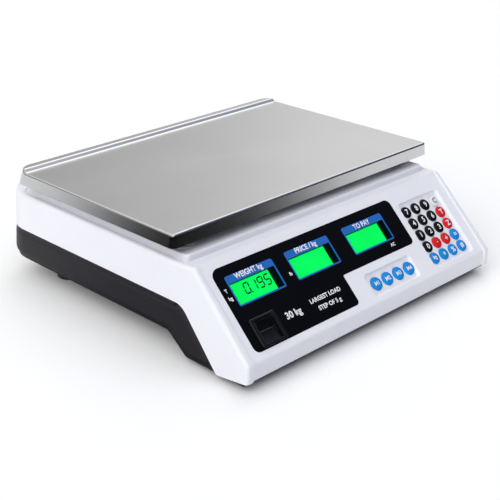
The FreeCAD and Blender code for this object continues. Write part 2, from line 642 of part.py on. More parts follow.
def display_board():
    board = block(-150.5, 153.0, 4.5, 88.0, BOARD_TOP - BOARD_THICK, BOARD_TOP, 2.0)
    sx, ss = SWITCH_CENTRE
    cuts = [block(sx - 30.0, sx + 15.5, -5.0, ss + 15.0, -15.0, -5.0)]
    cuts += [post(x, s, -15.0, -5.0, 1.6) for x, s in BOARD_SCREWS]
    for x, y in SCREW_SPOTS:
        if y < -100:
            s = (y - PANEL_Y) / math.cos(math.radians(PANEL_ANGLE))
            cuts.append(block(x - 6, x + 6, s - 20, s + 16, -15.0, -5.0))
    board = board.cut(cuts)
    chips = [block(x, x + w, s, s + d, BOARD_TOP - BOARD_THICK - 2.4, BOARD_TOP - BOARD_THICK)
             for x, w, s, d in ((-40, 14, 22, 14), (10, 18, 60, 18), (-100, 10, 60, 10))]
    return on_panel(join([board] + chips))


def board_screws():
    screws = []
    for x, s in BOARD_SCREWS:
        shank = post(x, s, BOARD_TOP - BOARD_THICK, -5.2, 1.5)
        head = post(x, s, BOARD_TOP - BOARD_THICK - 2.0, BOARD_TOP - BOARD_THICK, 2.8)
        screws.append(on_panel(join([shank, head])))
    return Part.makeCompound(screws)


def key_mat(recess):
    """Silicone mat with the contact pills, on the board below the keys."""
    x0, x1, s0, s1 = recess
    return on_panel(block(x0 + 1, x1 - 1, s0 + 1.5, s1 - 1.5, BOARD_TOP, BOARD_TOP + 1.5, 3.0))


def key(x, s, r):
    """A domed key cap with the retaining flange below the recess floor."""
    floor = -RECESS_DEPTH
    under = floor - WALL
    cap = post(x, s, under - 0.4, floor + KEY_RISE - 0.9, r)
    top = floor + KEY_RISE
    radius = (r * r + 0.9 * 0.9) / (2 * 0.9)
    dome = Part.makeSphere(radius, V(x, s, top - radius)).common(
        post(x, s, floor + KEY_RISE - 0.9, top + 0.5, r))
    flange = post(x, s, under - 1.2, under - 0.4, r + KEY_FLANGE)
    return on_panel(join([flange, cap, dome]))


# ---- switch ----------------------------------------------------------------------------------
def switch_body():
    sx, ss = SWITCH_CENTRE
    bx, bs = SWITCH_BEZEL
    bezel = block(sx - bx / 2, sx + bx / 2, ss - bs / 2, ss + bs / 2, WINDOW_PROUD, 2.2, 2.0)
    rim = [e for e in bezel.Edges if min(v.Z for v in e.Vertexes) > 2.1]
    bezel = bezel.makeFillet(0.9, rim)
    case = block(sx - 12.7, sx + 12.7, ss - 11.9, ss + 11.9, -22.0, WINDOW_PROUD, 0.8)
    well = block(sx - ROCKER_WELL[0] / 2, sx + ROCKER_WELL[0] / 2, ss - ROCKER_WELL[1] / 2,
                 ss + ROCKER_WELL[1] / 2, -14.5, 5.0, 0.6)
    pivot = Part.makeCylinder(1.55, 24.0, V(sx - 12.0, ss, ROCKER_PIVOT), V(1, 0, 0))
    tabs = [block(sx + d - 3.0, sx + d + 3.0, ss - 0.4, ss + 0.4, -29.0, -22.0) for d in (-6, 6)]
    return on_panel(join([bezel, case] + tabs).cut([well, pivot]))


def switch_rocker():
    """The paddle: two faces meeting in a shallow hollow, on two stub pivots."""
    sx, ss = SWITCH_CENTRE
    half = ROCKER_SIZE[1] / 2
    lift = half * math.tan(math.radians(ROCKER_TILT))
    crest = 3.0
    left, right = sx - ROCKER_SIZE[0] / 2, sx + ROCKER_SIZE[0] / 2
    sketch = [V(left, -half, 0.0), V(left, -half, crest), V(left, 0, crest - lift - 0.6),
              V(left, half, crest), V(left, half, 0.0)]
    edges = [Part.LineSegment(sketch[0], sketch[1]).toShape(),
             Part.Arc(sketch[1], sketch[2], sketch[3]).toShape(),
             Part.LineSegment(sketch[3], sketch[4]).toShape(),
             Part.Arc(sketch[4], V(left, 0, -8.5), sketch[0]).toShape()]
    paddle = Part.Face(Part.Wire(edges)).extrude(V(right - left, 0, 0))
    pins = Part.makeCylinder(1.5, ROCKER_SIZE[0] + 2.4, V(left - 1.2, 0, 0), V(1, 0, 0))
    rocker = join([paddle, pins])
    rocker.rotate(V(0, 0, 0), V(1, 0, 0), ROCKER_TILT)
    rocker.translate(V(0, ss, ROCKER_PIVOT))
    return on_panel(rocker)


# ---- customer's display ----------------------------------------------------------------------
def rear_window():
    low, high = REAR_WINDOW_Z
    plate = block(-REAR_WINDOW_X, REAR_WINDOW_X, low, high, WINDOW_PROUD - WINDOW_THICK,
                  WINDOW_PROUD, 5.0)
    cuts = [block(c - 24.0, c + 24.0, low + 5, high - 8, -3.0, 3.0) for c in REAR_LCD_CENTRES]
    return on_rear(plate.cut(cuts))


def rear_lcds():
    low, high = REAR_WINDOW_Z
    return Part.makeCompound([on_rear(block(c - 25.5, c + 25.5, low + 4.3, high - 7.3, -5.4, -3.6))
                              for c in REAR_LCD_CENTRES])


def rear_board():
    low, high = REAR_WINDOW_Z
    board = block(-118.0, 118.0, low + 1.5, high - 3.0, -9.5, -7.9, 1.0)
    lights = [block(c - 25.0, c + 25.0, low + 5.0, high - 8.0, -7.9, -5.4)
              for c in REAR_LCD_CENTRES]
    return on_rear(join([board] + lights))


# ---- power -----------------------------------------------------------------------------------
def battery():
    floor = BASE_REAR_Z + WALL
    case = block(*BATTERY_X, *BATTERY_Y, floor, floor + BATTERY_HEIGHT, 2.0)
    tabs = [block(x, x + 5.0, BATTERY_Y[0] - 5.0, BATTERY_Y[0], floor + BATTERY_HEIGHT - 9.0,
                  floor + BATTERY_HEIGHT - 8.2) for x in (BATTERY_X[0] + 10, BATTERY_X[1] - 15)]
    return join([case] + tabs)


def battery_door():
    plate = block(*DOOR_X, *DOOR_Y, *DOOR_Z, 2.0)
    y = DOOR_Y[1] - 12.0
    grips = [block(-100.0, -60.0, y - i * 4.0 - 0.8, y - i * 4.0 + 0.8, DOOR_Z[0] - 1.0, DOOR_Z[0] + 0.8)
             for i in range(4)]
    return plate.cut(grips)


def transformer():
    floor = BASE_REAR_Z + WALL
    core = block(70.0, 118.0, 92.0, 108.0, floor + 1.5, floor + 41.5)
    coil = block(80.0, 108.0, 83.0, 117.0, floor + 9.0, floor + 34.0, 5.0)
    strap = block(60.0, 128.0, 93.0, 107.0, floor, floor + 1.5)
    holes = [post(x, 100.0, 20.0, 40.0, 2.0) for x in (64.5, 123.5)]
    return join([core, coil, strap]).cut(holes)


def side_wall_x(z):
    return HALF_WIDTH - SIDE_DRAFT * z


def inlet_hole():
    return block(150.0, 180.0, INLET_Y - 13.9, INLET_Y + 13.9, INLET_Z - 10.1, INLET_Z + 10.1)


def mains_inlet():
    """Three-pin appliance inlet, clipped into the right-hand wall."""
    face = side_wall_x(INLET_Z) + 0.6
    body = block(face - 24.0, face, INLET_Y - 13.7, INLET_Y + 13.7, INLET_Z - 9.9, INLET_Z + 9.9)
    collar = block(face - 1.4 - WALL - 1.5, face - 1.4 - WALL, INLET_Y - 15.5, INLET_Y + 15.5,
                   INLET_Z - 10.8, INLET_Z + 10.8)
    collar = collar.cut(body)
    socket = block(face - 17.0, face + 1.0, INLET_Y - 12.0, INLET_Y + 12.0, INLET_Z - 8.2,
                   INLET_Z + 8.2)
    pins = [block(face - 18.0, face - 6.5, INLET_Y + dy - 1.0, INLET_Y + dy + 1.0,
                  INLET_Z + dz - 2.0, INLET_Z + dz + 2.0)
            for dy, dz in ((-7.0, -1.5), (7.0, -1.5), (0.0, 2.5))]
    tags = [block(face - 31.0, face - 24.0, INLET_Y + dy - 2.4, INLET_Y + dy + 2.4,
                  INLET_Z - 0.4, INLET_Z + 0.4) for dy in (-7.0, 7.0)]
    return join([body.cut(socket), collar] + pins + tags)


def bubble_level():
    """Round vial set in the deck, seen when the pan is lifted off."""
    cup = post(0.0, LEVEL_Y, DECK_Z - 5.5, DECK_Z + 0.2, LEVEL_R)
    flange = post(0.0, LEVEL_Y, DECK_Z, DECK_Z + 1.2, LEVEL_R + 1.8)
    lens = Part.makeSphere(30.0, V(0, LEVEL_Y, DECK_Z + 2.1 - 30.0)).common(
        post(0.0, LEVEL_Y, DECK_Z + 0.5, DECK_Z + 3.0, LEVEL_R - 0.8))
    return join([cup, flange, lens])


# ---- write every part ------------------------------------------------------------------------
def parts_list():
    parts = {
        "weighing_pan": weighing_pan(),
        "pan_spider": pan_spider(),
        "pan_pads": pan_pads(),
        "spider_screws": spider_screws(),
        "upper_spacer": upper_spacer(),
        "load_cell": load_cell(),
        "lower_spacer": lower_spacer(),
        "load_cell_screws": load_cell_screws(),
        "top_housing": top_housing(),
        "base_housing": base_housing(),
        "housing_screws": housing_screws(),
        "display_window": display_window(),
        "display_bezels": display_bezels(),
        "lcd_backlights": lcd_backlights(),
        "display_board": display_board(),
        "board_screws": board_screws(),
        "keypad_mat_main": key_mat(MAIN_RECESS),
        "keypad_mat_memory": key_mat(MEMORY_RECESS),
        "switch_body": switch_body(),
        "switch_rocker": switch_rocker(),
        "rear_window": rear_window(),
        "rear_lcds": rear_lcds(),
        "rear_board": rear_board(),
        "battery": battery(),
        "battery_door": battery_door(),
        "transformer": transformer(),
        "mains_inlet": mains_inlet(),
        "bubble_level": bubble_level(),
    }
    for name, centre in LCD_CENTRES.items():
        parts["lcd_" + name] = lcd_panel(centre)
    for end_name, (reach, y) in FOOT_SPOTS.items():
        for side_name, x in (("left", -reach), ("right", reach)):
            parts[f"foot_{end_name}_{side_name}"] = levelling_foot(x, y)
    for name, x, s, r in key_spots():
        parts[name] = key(x, s, r)
    return parts


os.makedirs("parts", exist_ok=True)
for node, shape in parts_list().items():
    shape.translate(V(0, -MIDDLE_Y, 0))
    if not shape.isValid():
        print("not valid:", node)
    print(f"{node:20s} solids {len(shape.Solids)} volume {shape.Volume / 1000:9.2f} cm3")
    shape.exportStep(f"parts/{node}.step")
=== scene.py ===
"""A retail price-computing counter scale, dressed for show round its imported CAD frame."""
import json
import math

import bmesh
import bpy
from mathutils import Matrix, Vector


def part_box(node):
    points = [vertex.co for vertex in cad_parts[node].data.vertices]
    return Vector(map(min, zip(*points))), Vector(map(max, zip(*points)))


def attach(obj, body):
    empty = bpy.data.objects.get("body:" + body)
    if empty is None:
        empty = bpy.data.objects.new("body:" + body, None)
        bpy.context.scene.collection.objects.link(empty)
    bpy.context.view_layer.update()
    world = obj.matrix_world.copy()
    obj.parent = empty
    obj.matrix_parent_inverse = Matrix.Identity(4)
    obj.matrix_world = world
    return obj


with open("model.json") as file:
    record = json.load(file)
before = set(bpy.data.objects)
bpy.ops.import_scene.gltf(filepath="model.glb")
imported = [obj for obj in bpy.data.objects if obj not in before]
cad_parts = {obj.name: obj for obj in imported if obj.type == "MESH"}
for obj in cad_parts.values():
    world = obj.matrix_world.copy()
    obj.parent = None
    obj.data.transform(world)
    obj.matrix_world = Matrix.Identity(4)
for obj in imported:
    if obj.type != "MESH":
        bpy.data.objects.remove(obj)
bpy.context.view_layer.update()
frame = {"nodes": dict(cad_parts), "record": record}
MM = 0.001


# ---- studio ------------------------------------------------------------------------------------
# A pale seamless table under soft light: a broad source on the left that feeds the white side wall,
# a weaker one in front, and a bright sky overhead and behind that the steel pan mirrors.
def place(tree, kind, inputs=None, **settings):
    """Adds one shader node; each input is a plain value or another node's output."""
    made = tree.nodes.new("ShaderNode" + kind)
    for name, value in settings.items():
        setattr(made, name, value)
    for name, value in (inputs or {}).items():
        if isinstance(value, bpy.types.NodeSocket):
            tree.links.new(value, made.inputs[name])
        else:
            made.inputs[name].default_value = value
    return made


def ramp(tree, factor, *stops):
    """A colour ramp through (position, grey level or colour) stops."""
    made = place(tree, "ValToRGB", {"Fac": factor})
    bands = made.color_ramp.elements
    while len(bands) < len(stops):
        bands.new(0.5)
    for band, (position, shade) in zip(bands, stops):
        band.position = position
        band.color = (*shade, 1.0) if isinstance(shade, tuple) else (shade, shade, shade, 1.0)
    return made.outputs["Color"]


def plain_material(name, **sockets):
    """A material whose even values are set on the shader's own sockets."""
    material = bpy.data.materials.new(name)
    material.use_nodes = True
    shader = material.node_tree.nodes["Principled BSDF"]
    for socket, value in sockets.items():
        shader.inputs[socket.replace("_", " ")].default_value = value
    return material, material.node_tree, shader


VIEW_AZIMUTH, VIEW_ELEVATION, VIEW_ROLL = map(math.radians, (-44.518, 23.853, -0.279))
camera_data = bpy.data.cameras.new("camera")
camera_data.lens = 80.0
camera_data.clip_end = 20.0
camera = bpy.data.objects.new("camera", camera_data)
bpy.context.scene.collection.objects.link(camera)
camera.location = (-0.7128, -0.7341, 0.4755)
camera.rotation_mode = "QUATERNION"
towards_camera = Vector((math.sin(VIEW_AZIMUTH) * math.cos(VIEW_ELEVATION),
                         -math.cos(VIEW_AZIMUTH) * math.cos(VIEW_ELEVATION),
                         math.sin(VIEW_ELEVATION)))
level = (-towards_camera).to_track_quat("-Z", "Y")
camera.rotation_quaternion = level @ Matrix.Rotation(VIEW_ROLL, 3, "Z").to_quaternion()
bpy.context.scene.camera = camera
bpy.context.scene.view_settings.view_transform = "Standard"

table_mesh = bpy.data.meshes.new("table")
TABLE_HALF = 9.0
table_mesh.from_pydata([(-TABLE_HALF, -TABLE_HALF, 0), (TABLE_HALF, -TABLE_HALF, 0),
                        (TABLE_HALF, TABLE_HALF, 0), (-TABLE_HALF, TABLE_HALF, 0)],
                       [], [(0, 1, 2, 3)])
table = bpy.data.objects.new("table", table_mesh)
bpy.context.scene.collection.objects.link(table)
table_paper, tree, shader = plain_material("table_paper", Roughness=0.9, Specular_IOR_Level=0.0)
# Seen only in reflections, the table is painted dark on the camera side and light behind it: a painted
# reflection that darkens the pan's flange and edges. Seen directly and by diffuse light it stays an
# even white.
spot = place(tree, "SeparateXYZ", {"Vector": place(tree, "TexCoord").outputs["Object"]})
across = place(tree, "Math", {0: spot.outputs["X"], 1: spot.outputs["Y"]}, operation="ADD")
fall = place(tree, "MapRange", {"Value": across.outputs[0], "From Min": -0.287, "From Max": 0.033})
painted_reflection_shade = ramp(tree, fall.outputs[0], (0.0, 0.005), (0.3, 0.025), (0.5, 0.18),
                 (0.72, 0.56), (1.0, 0.88))
seen_in_gloss = place(tree, "LightPath").outputs["Is Glossy Ray"]
table_tone = place(tree, "Mix", {0: seen_in_gloss, 6: (0.98, 0.98, 0.98, 1.0), 7: painted_reflection_shade},
                   data_type="RGBA")
tree.links.new(table_tone.outputs[2], shader.inputs["Base Color"])
table_mesh.materials.append(table_paper)

world = bpy.data.worlds.new("sky")
world.use_nodes = True
bpy.context.scene.world = world
sky = world.node_tree
heading = place(sky, "SeparateXYZ", {"Vector": place(sky, "TexCoord").outputs["Generated"]})
to_right = place(sky, "VectorMath", {0: place(sky, "TexCoord").outputs["Generated"],
                                     1: (0.7071, -0.7071, 0.0)}, operation="DOT_PRODUCT")
glow = ramp(sky, place(sky, "MapRange", {"Value": to_right.outputs["Value"], "From Min": -1.0,
                                         "From Max": 1.0}).outputs[0],
            (0.0, 0.30), (0.39, 0.42), (0.46, 0.56), (0.53, 0.80), (0.60, 0.80),
            (0.75, (0.15, 0.165, 0.21)), (1.0, (0.02, 0.025, 0.045)))
lift = ramp(sky, heading.outputs["Z"], (0.0, 1.0), (0.45, 1.0), (0.60, 2.6), (0.80, 2.2), (1.0, 1.0))
sky_tone = place(sky, "Mix", {0: 1.0, 6: glow, 7: lift}, data_type="RGBA", blend_type="MULTIPLY")
backdrop = sky.nodes["Background"]
sky.links.new(sky_tone.outputs[2], backdrop.inputs["Color"])


def soft_source(name, heading_to, power, width, colour=(1.0, 1.0, 1.0)):
    """A broad even light that comes from one direction and isn't seen in reflections."""
    data = bpy.data.lights.new(name, "SUN")
    data.energy = power
    data.angle = math.radians(width)
    data.color = colour
    made = bpy.data.objects.new(name, data)
    made.rotation_mode = "QUATERNION"
    made.rotation_quaternion = Vector(heading_to).to_track_quat("Z", "Y")
    made.visible_glossy = False
    bpy.context.scene.collection.objects.link(made)


soft_source("left_bank", (-0.80, -0.10, 0.60), 1.15, 50.0)
soft_source("front_bank", (-0.15, -0.75, 0.65), 0.08, 60.0, (0.6, 0.7, 1.0))
soft_source("top_bank", (0.0, 0.1, 1.0), 0.30, 90.0)


# ---- black base housing and battery door ---------------------------------------------------------
# The lower half of the case and the sliding battery door under it, injection moulded in black ABS
# with a fine spark-eroded grain. Eight screws from below hold it to the white half.
def effect(name, takes, gives):
    """Starts a shader node group with named inputs and outputs."""
    tree = bpy.data.node_groups.new(name, "ShaderNodeTree")
    for label, kind, value in takes:
        made = tree.interface.new_socket(label, in_out="INPUT", socket_type="NodeSocket" + kind)
        made.default_value = value
    for label, kind in gives:
        tree.interface.new_socket(label, in_out="OUTPUT", socket_type="NodeSocket" + kind)
    return tree, tree.nodes.new("NodeGroupInput").outputs, tree.nodes.new("NodeGroupOutput").inputs


def apply_effect(tree, group, **inputs):
    """Places a shared effect in a material, with that material's own values."""
    made = tree.nodes.new("ShaderNodeGroup")
    made.node_tree = group
    for name, value in inputs.items():
        socket = made.inputs[name.replace("_", " ")]
        if isinstance(value, bpy.types.NodeSocket):
            tree.links.new(value, socket)
        else:
            socket.default_value = value
    return made.outputs


moulded, takes, gives = effect(
    "moulded_surface",
    (("Colour", "Color", (0.5, 0.5, 0.5, 1.0)), ("Mottle", "Float", 0.05),
     ("Grain Size", "Float", 0.5), ("Grain Depth", "Float", 0.02),
     ("Rough", "Float", 0.5), ("Rough Spread", "Float", 0.1)),
    (("Colour", "Color"), ("Roughness", "Float"), ("Normal", "Vector")))
where = place(moulded, "TexCoord").outputs["Object"]
cloud = place(moulded, "TexNoise", {"Vector": where, "Scale": 22.0, "Detail": 4.0})
per_metre = place(moulded, "Math", {0: 1000.0, 1: takes["Grain Size"]}, operation="DIVIDE")
grain = place(moulded, "TexNoise", {"Vector": where, "Scale": per_metre.outputs[0], "Detail": 2.0})
shift = place(moulded, "MapRange", {"Value": cloud.outputs["Fac"], "From Min": 0.3, "From Max": 0.7,
                                    "To Min": -1.0, "To Max": 1.0})
toned = place(moulded, "Math", {0: shift.outputs[0], 1: takes["Mottle"], 2: 1.0},
              operation="MULTIPLY_ADD")
tinted = place(moulded, "HueSaturation", {"Color": takes["Colour"], "Value": toned.outputs[0]})
rough_shift = place(moulded, "Math", {0: grain.outputs["Fac"], 1: -0.5}, operation="ADD")
rough = place(moulded, "Math", {0: rough_shift.outputs[0], 1: takes["Rough Spread"],
                                2: takes["Rough"]}, operation="MULTIPLY_ADD")
grain_metres = place(moulded, "Math", {0: takes["Grain Depth"], 1: MM}, operation="MULTIPLY")
dimples = place(moulded, "Bump", {"Height": grain.outputs["Fac"], "Strength": 1.0,
                                  "Distance": grain_metres.outputs[0]})
moulded.links.new(tinted.outputs[0], gives["Colour"])
moulded.links.new(rough.outputs[0], gives["Roughness"])
moulded.links.new(dimples.outputs[0], gives["Normal"])

# Masks every edge for a lighter tone, stronger in noisy patches: partly wear and partly a painted
# highlight along the edges.
edge_sheen_and_wear, takes, gives = effect(
    "worn_and_highlit_edges", (("Radius", "Float", 0.8), ("Patch Size", "Float", 6.0)), (("Mask", "Float"),))
metres = place(edge_sheen_and_wear, "Math", {0: takes["Radius"], 1: MM}, operation="MULTIPLY")
softened = place(edge_sheen_and_wear, "Bevel", {"Radius": metres.outputs[0]}, samples=4)
bend = place(edge_sheen_and_wear, "VectorMath", {0: softened.outputs[0],
                                    1: place(edge_sheen_and_wear, "NewGeometry").outputs["Normal"]},
             operation="DOT_PRODUCT")
edge = place(edge_sheen_and_wear, "MapRange", {"Value": bend.outputs["Value"], "From Min": 0.995,
                                  "From Max": 0.90})
patch_scale = place(edge_sheen_and_wear, "Math", {0: 1000.0, 1: takes["Patch Size"]}, operation="DIVIDE")
patches = place(edge_sheen_and_wear, "TexNoise", {"Vector": place(edge_sheen_and_wear, "TexCoord").outputs["Object"],
                                     "Scale": patch_scale.outputs[0], "Detail": 3.0})
worn = place(edge_sheen_and_wear, "MapRange", {"Value": patches.outputs["Fac"], "From Min": 0.35,
                                  "From Max": 0.65, "To Min": 0.3})
masked = place(edge_sheen_and_wear, "Math", {0: edge.outputs[0], 1: worn.outputs[0]}, operation="MULTIPLY")
edge_sheen_and_wear.links.new(masked.outputs[0], gives["Mask"])


def moulded_material(name, colour, edge_sheen_and_wear_colour, rough=0.5, grain=0.5, depth=0.02, mottle=0.05,
                     spread=0.1, **sockets):
    """Moulded plastic or rubber: grain, slight unevenness, and edges lightened to another tone, partly
    as wear and partly as a painted highlight.
    """
    material, tree, shader = plain_material(name, **sockets)
    skin = apply_effect(tree, moulded, Colour=(*colour, 1.0), Mottle=mottle, Grain_Size=grain,
                        Grain_Depth=depth, Rough=rough, Rough_Spread=spread)
    mask = apply_effect(tree, edge_sheen_and_wear)["Mask"]
    tone = place(tree, "Mix", {0: mask, 6: skin["Colour"], 7: (*edge_sheen_and_wear_colour, 1.0)},
                 data_type="RGBA")
    tree.links.new(tone.outputs[2], shader.inputs["Base Color"])
    tree.links.new(skin["Roughness"], shader.inputs["Roughness"])
    tree.links.new(skin["Normal"], shader.inputs["Normal"])
    return material


def dress(material, *nodes):
    """Gives carried-over nodes their finished material."""
    for node in nodes:
        slots = frame["nodes"][node].data.materials
        slots.clear()
        slots.append(material)


black_abs = moulded_material("black_abs", (0.023, 0.022, 0.027), (0.034, 0.033, 0.039),
                             rough=0.52, grain=0.6, depth=0.03, Specular_IOR_Level=0.28)
dress(black_abs, "base_housing", "battery_door")


# ---- levelling feet ------------------------------------------------------------------------------
# Four knurled black nylon discs moulded onto M8 studs, which screw into the bosses of the base.
foot_nylon = moulded_material("foot_nylon", (0.022, 0.022, 0.024), (0.05, 0.05, 0.05), rough=0.42,
                              grain=0.9, depth=0.03)
FEET = [f"foot_{end}_{side}" for end in ("front", "rear") for side in ("left", "right")]
dress(foot_nylon, *FEET)


# ---- screws and spacers --------------------------------------------------------------------------
# Zinc plated steel: the case screws, the socket screws of the load cell and the two spacer blocks.
# The plating is bluish and cloudy, with a faint turned texture.
def metal_material(name, dark, light, rough_low, rough_high, cloud_size=4.0, depth=0.01, **sockets):
    """Bare or plated metal: a cloudy tone, uneven gloss and a fine tooth."""
    material, tree, shader = plain_material(name, Metallic=1.0, **sockets)
    where = place(tree, "TexCoord").outputs["Object"]
    cloud = place(tree, "TexNoise", {"Vector": where, "Scale": 1000.0 / cloud_size, "Detail": 5.0})
    tooth = place(tree, "TexNoise", {"Vector": where, "Scale": 4000.0, "Detail": 1.0})
    tone = ramp(tree, cloud.outputs["Fac"], (0.3, dark), (0.7, light))
    gloss = place(tree, "MapRange", {"Value": cloud.outputs["Fac"], "From Min": 0.3,
                                     "From Max": 0.7, "To Min": rough_low, "To Max": rough_high})
    bumps = place(tree, "Bump", {"Height": tooth.outputs["Fac"], "Distance": depth * MM})
    tree.links.new(tone, shader.inputs["Base Color"])
    tree.links.new(gloss.outputs[0], shader.inputs["Roughness"])
    tree.links.new(bumps.outputs[0], shader.inputs["Normal"])
    return material


zinc = metal_material("zinc_plate", (0.50, 0.52, 0.55), (0.66, 0.68, 0.70), 0.28, 0.42)
dress(zinc, "housing_screws", "board_screws", "spider_screws", "load_cell_screws",
      "lower_spacer", "upper_spacer")


# ---- load cell -----------------------------------------------------------------------------------
# A bar of clear anodised aluminium, milled and drilled, screwed to the base at one end and to the
# pan's spider at the other.
milled = metal_material("milled_aluminium", (0.66, 0.66, 0.68), (0.78, 0.78, 0.79), 0.30, 0.40,
                        cloud_size=12.0, depth=0.02)
dress(milled, "load_cell")


# ---- battery, transformer and mains inlet --------------------------------------------------------
# The sealed lead battery in a grey ABS box, the laminated transformer with its varnish, and the
# glossy black appliance inlet clipped into the right-hand wall.
battery_case = moulded_material("battery_case", (0.085, 0.088, 0.095), (0.14, 0.14, 0.15),
                                rough=0.45, grain=1.2, depth=0.05)
dress(battery_case, "battery")

varnished, tree, shader = plain_material("varnished_core", Metallic=0.6, Coat_Weight=0.4,
                                         Coat_Roughness=0.2)
height = place(tree, "SeparateXYZ", {"Vector": place(tree, "TexCoord").outputs["Object"]})
LAMINATION = 0.5
sheet_count = place(tree, "Math", {0: height.outputs["Y"], 1: 1.0 / (LAMINATION * MM)},
                    operation="MULTIPLY")
sheet_edge = place(tree, "Math", {0: sheet_count.outputs[0]}, operation="FRACT")
rust = place(tree, "TexNoise", {"Vector": place(tree, "TexCoord").outputs["Object"],
                                "Scale": 120.0, "Detail": 4.0})
steel_tone = ramp(tree, rust.outputs["Fac"], (0.35, (0.10, 0.09, 0.08)), (0.7, (0.22, 0.17, 0.12)))
tree.links.new(steel_tone, shader.inputs["Base Color"])
tree.links.new(place(tree, "Bump", {"Height": sheet_edge.outputs[0], "Distance": 0.1 * MM}
                     ).outputs[0], shader.inputs["Normal"])
dress(varnished, "transformer")

# The far lighter edge tone paints highlights along the edges of the switch and the inlet, besides
# slight wear.
gloss_black = moulded_material("gloss_black", (0.003, 0.003, 0.004), (0.045, 0.045, 0.055),
                               rough=0.16, grain=1.5, depth=0.003, mottle=0.1, spread=0.06,
                               Specular_IOR_Level=0.4)
dress(gloss_black, "mains_inlet", "switch_body", "switch_rocker")


# ---- white top housing ---------------------------------------------------------------------------
# The upper half of the case in white ABS with a cool tint: raised deck, sloping operator's panel
# between two side borders, key recesses, and the lip that hooks over the base in front.
# Its lighter edge tone is partly wear and partly a painted highlight along the edges.
white_abs = moulded_material("white_abs", (0.84, 0.845, 0.90), (0.93, 0.935, 0.97), rough=0.38,
                             grain=0.7, depth=0.012, mottle=0.012, spread=0.12)
dress(white_abs, "top_housing")


# ---- bubble level --------------------------------------------------------------------------------
# A clear acrylic vial of tinted spirit, pressed into the deck below the pan.
vial, tree, shader = plain_material("level_vial", Roughness=0.08, Transmission_Weight=0.55)
spirit = place(tree, "TexNoise", {"Vector": place(tree, "TexCoord").outputs["Object"],
                                  "Scale": 90.0, "Detail": 2.0})
tree.links.new(ramp(tree, spirit.outputs["Fac"], (0.3, (0.45, 0.72, 0.08)),
                    (0.7, (0.60, 0.85, 0.16))), shader.inputs["Base Color"])
dress(vial, "bubble_level")


# ---- circuit boards, backlights and key mats -----------------------------------------------------
# Green glass-epoxy boards behind the two displays, milky light guides behind the glass, and grey
# silicone mats with their contact pills below the keys.
def mask_material(name, low, high, scale, **sockets):
    """A skin whose colour drifts between two tones."""
    material, tree, shader = plain_material(name, **sockets)
    drift = place(tree, "TexNoise", {"Vector": place(tree, "TexCoord").outputs["Object"],
                                     "Scale": scale, "Detail": 4.0})
    tree.links.new(ramp(tree, drift.outputs["Fac"], (0.35, low), (0.65, high)),
                   shader.inputs["Base Color"])
    tree.links.new(place(tree, "Bump", {"Height": drift.outputs["Fac"], "Distance": 0.05 * MM}
                         ).outputs[0], shader.inputs["Normal"])
    return material


dress(mask_material("solder_mask", (0.010, 0.11, 0.04), (0.02, 0.19, 0.07), 260.0, Roughness=0.3),
      "display_board", "rear_board")
dress(mask_material("light_guide", (0.62, 0.86, 0.64), (0.74, 0.93, 0.76), 60.0, Roughness=0.5),
      "lcd_backlights")
dress(mask_material("key_silicone", (0.42, 0.43, 0.46), (0.50, 0.51, 0.54), 80.0, Roughness=0.7),
      "keypad_mat_main", "keypad_mat_memory")


# ---- lit displays --------------------------------------------------------------------------------
# Three liquid crystal glasses lie 4 mm below the panel with a green light guide behind each. The
# dark segments are flat on the glass: the weight reads 0.195 with two small pointers lit.
PANEL_FOOT = Vector((0.0, -176.5, 26.5))
UP_THE_SLOPE = Vector((0.0, math.sqrt(0.5), math.sqrt(0.5)))
OUT_OF_PANEL = Vector((0.0, -math.sqrt(0.5), math.sqrt(0.5)))


def on_panel(x, s, n):
    """A point of the sloping panel, given across, up the slope and outwards in millimetres."""
    return (PANEL_FOOT + Vector((x, 0.0, 0.0)) + UP_THE_SLOPE * s + OUT_OF_PANEL * n) * MM


REAR_FOOT = Vector((0.0, 180.8, 0.0))
REAR_LEAN = math.atan(0.1)
UP_THE_REAR = Vector((0.0, -math.sin(REAR_LEAN), math.cos(REAR_LEAN)))
OUT_OF_REAR = Vector((0.0, math.cos(REAR_LEAN), math.sin(REAR_LEAN)))


def on_rear(x, s, n):
    """A point of the rear wall, given leftwards as the customer reads, up and outwards."""
    return (REAR_FOOT + Vector((-x, 0.0, 0.0)) + UP_THE_REAR * s + OUT_OF_REAR * n) * MM


def lay_shapes(name, outlines, where, height, thickness, material, body):
    """Flat convex shapes with a slight thickness, laid on a surface as one piece."""
    mesh = bmesh.new()
    for outline in outlines:
        low = [mesh.verts.new(where(x, s, height)) for x, s in outline]
        high = [mesh.verts.new(where(x, s, height + thickness)) for x, s in outline]
        mesh.faces.new(low[::-1])
        mesh.faces.new(high)
        count = len(outline)
        for i in range(count):
            after = (i + 1) % count
            mesh.faces.new((low[i], low[after], high[after], high[i]))
    bmesh.ops.recalc_face_normals(mesh, faces=mesh.faces)
    return finish_piece(name, mesh, material, body)


def finish_piece(name, mesh, material, body):
    """Turns built geometry into a piece that rides on its body."""
    data = bpy.data.meshes.new(name)
    mesh.to_mesh(data)
    mesh.free()
    data.materials.append(material)
    piece = bpy.data.objects.new(name, data)
    bpy.context.scene.collection.objects.link(piece)
    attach(piece, body)
    return piece


DIGIT_BARS = {"0": "abcdef", "1": "bc", "5": "acdfg", "9": "abcdfg"}
DIGIT_WIDTH, DIGIT_HEIGHT, BAR, BAR_GAP, SLANT = 5.4, 9.4, 1.35, 0.16, 0.10


